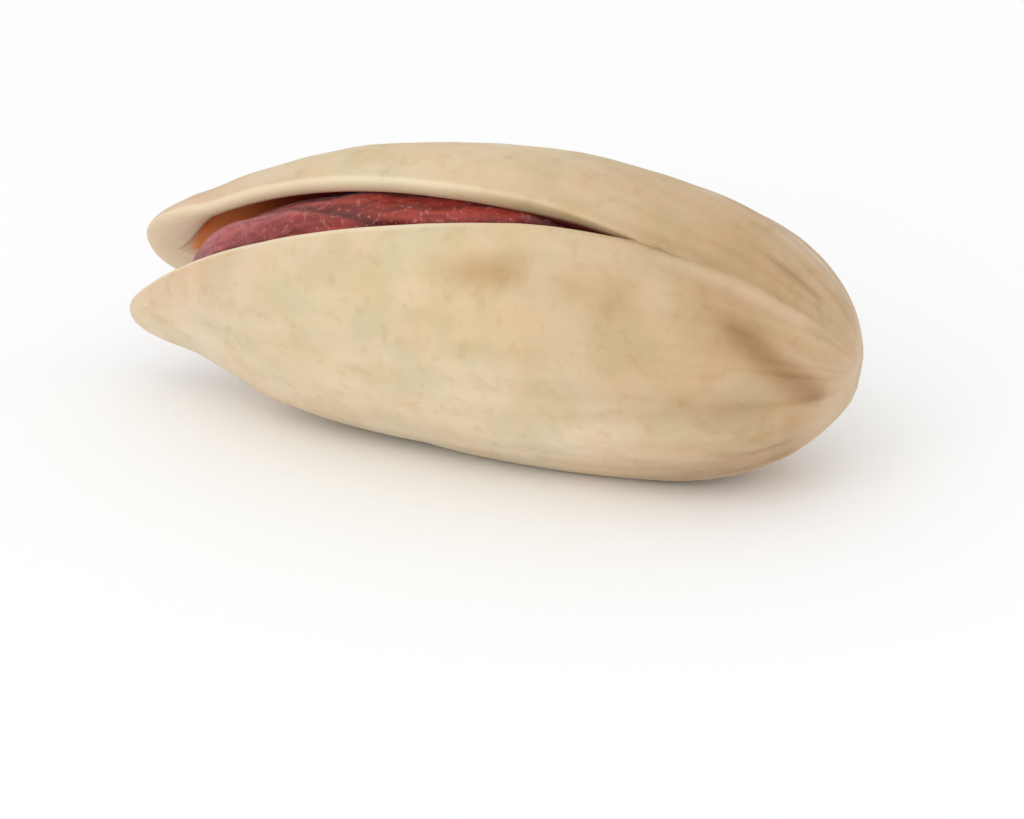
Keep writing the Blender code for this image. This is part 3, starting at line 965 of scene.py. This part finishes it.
def kernel_material(mottle, streaks, fine_skin):
    """Dry, wrinkled seed skin: mauve-red, with painted shade in its furrows, and dusted with paler specks."""
    material, tree, shader = start_material("kernel skin", {"Specular IOR Level": 0.4, "Sheen Weight": 0.1})
    coordinates = add_node(tree, "ShaderNodeTexCoord").outputs["Object"]
    meridian = read_mark(tree, "meridian", "Vector")

    along = add_node(tree, "ShaderNodeSeparateXYZ", {0: meridian}).outputs[0]
    colour = mix_colours(tree, remap(tree, along, *KERNEL_MAUVE_FADE), KERNEL_RED, KERNEL_MAUVE)
    dashes = read_group(tree, streaks, meridian, KERNEL_STREAKS)
    colour = mix_colours(tree, dashes, colour, KERNEL_STREAK_TINT, "MULTIPLY")
    # Painted shade: the kernel is darkened by the depth of its furrows.
    furrow = remap(tree, read_mark(tree, "furrow"), *KERNEL_FURROW_SHADE_FADE)
    colour = mix_colours(tree, furrow, colour, KERNEL_FURROW_SHADE)
    grain = read_group(tree, streaks, meridian, KERNEL_GRAIN)
    colour = mix_colours(tree, grain, colour, KERNEL_GRAIN_TINT, "MULTIPLY")
    specks = read_group(tree, mottle, coordinates, KERNEL_SPECKS)
    colour = mix_colours(tree, maths(tree, "MULTIPLY", specks, KERNEL_SPECK_SHARE), colour, KERNEL_SPECK)
    tree.links.new(colour, shader.inputs["Base Color"])
    tree.links.new(remap(tree, specks, *KERNEL_ROUGHNESS), shader.inputs["Roughness"])
    pores = read_group(tree, fine_skin, coordinates, KERNEL_PORES, "Height")
    add_bump(tree, shader, pores, KERNEL_BUMP)
    return material


def floor_material():
    """Matt white, for the floor that the nut lies on."""
    values = {"Base Color": FLOOR_WHITE, "Roughness": 0.9, "Specular IOR Level": 0.1}
    return start_material("white table", values)[0]


# The stage


def make_floor():
    half = 0.5 * FLOOR_SIZE
    mesh = bpy.data.meshes.new("floor")
    corners = [(-half, -half, 0.0), (half, -half, 0.0), (half, half, 0.0), (-half, half, 0.0)]
    mesh.from_pydata(corners, [], [(0, 1, 2, 3)])
    mesh.materials.append(floor_material())
    floor = bpy.data.objects.new("floor", mesh)
    bpy.context.scene.collection.objects.link(floor)


def view_axes(azimuth, elevation):
    """Directions from the object to the camera, and the image's right and up."""
    back = Vector((
        math.sin(azimuth) * math.cos(elevation),
        -math.cos(azimuth) * math.cos(elevation),
        math.sin(elevation),
    ))
    right = Vector((math.cos(azimuth), math.sin(azimuth), 0.0))
    return back, right, back.cross(right)


def make_camera():
    back, right, up = view_axes(CAMERA_AZIMUTH, CAMERA_ELEVATION)
    target = Vector(NUT_MIDDLE) + right * VIEW_CENTRE_RIGHT + up * VIEW_CENTRE_UP
    lens = bpy.data.cameras.new("camera")
    lens.sensor_width = CAMERA_SENSOR
    lens.lens = CAMERA_SENSOR * CAMERA_DISTANCE / VIEW_WIDTH
    lens.clip_start = CAMERA_NEAREST
    camera = bpy.data.objects.new("camera", lens)
    camera.location = target + back * CAMERA_DISTANCE
    camera.rotation_euler = back.to_track_quat("Z", "Y").to_euler()
    bpy.context.scene.collection.objects.link(camera)
    bpy.context.scene.camera = camera


def make_lights():
    """One large soft lamp in front of the nut, and white light from all round."""
    softbox = bpy.data.lights.new("softbox", "AREA")
    softbox.shape = "SQUARE"
    softbox.size = LIGHT_SIZE
    softbox.energy = LIGHT_POWER
    lamp = bpy.data.objects.new("softbox", softbox)
    towards_light = view_axes(LIGHT_AZIMUTH, LIGHT_ELEVATION)[0]
    lamp.location = towards_light * LIGHT_DISTANCE
    lamp.rotation_euler = towards_light.to_track_quat("Z", "Y").to_euler()
    bpy.context.scene.collection.objects.link(lamp)
    world = bpy.data.worlds.new("white studio")
    world.use_nodes = True
    sky = world.node_tree.nodes["Background"]
    sky.inputs["Color"].default_value = SKY_WHITE
    sky.inputs["Strength"].default_value = SKY_STRENGTH
    bpy.context.scene.world = world
    bpy.context.scene.view_settings.view_transform = "Standard"


def make_nut():
    """The shell and the kernel, each in place of its CAD node."""
    mottle = mottle_group()
    streaks = meridian_streak_group()
    fine_skin = fine_skin_group()
    relief = grown_relief_tree()
    shell = make_piece("split_shell", shell_skin())
    apply_relief(shell, relief, SHELL_UNEVENNESS, shell_material(mottle, streaks, fine_skin))
    kernel = make_piece("wrinkled_kernel", kernel_skin())
    apply_relief(kernel, relief, KERNEL_UNEVENNESS, kernel_material(mottle, streaks, fine_skin))
    for piece, node, slot in ((shell, "shell", "shell"), (kernel, "kernel", "kernel_skin")):
        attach(piece, "root")
        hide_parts(node)


make_nut()
make_floor()
make_camera()
make_lights()
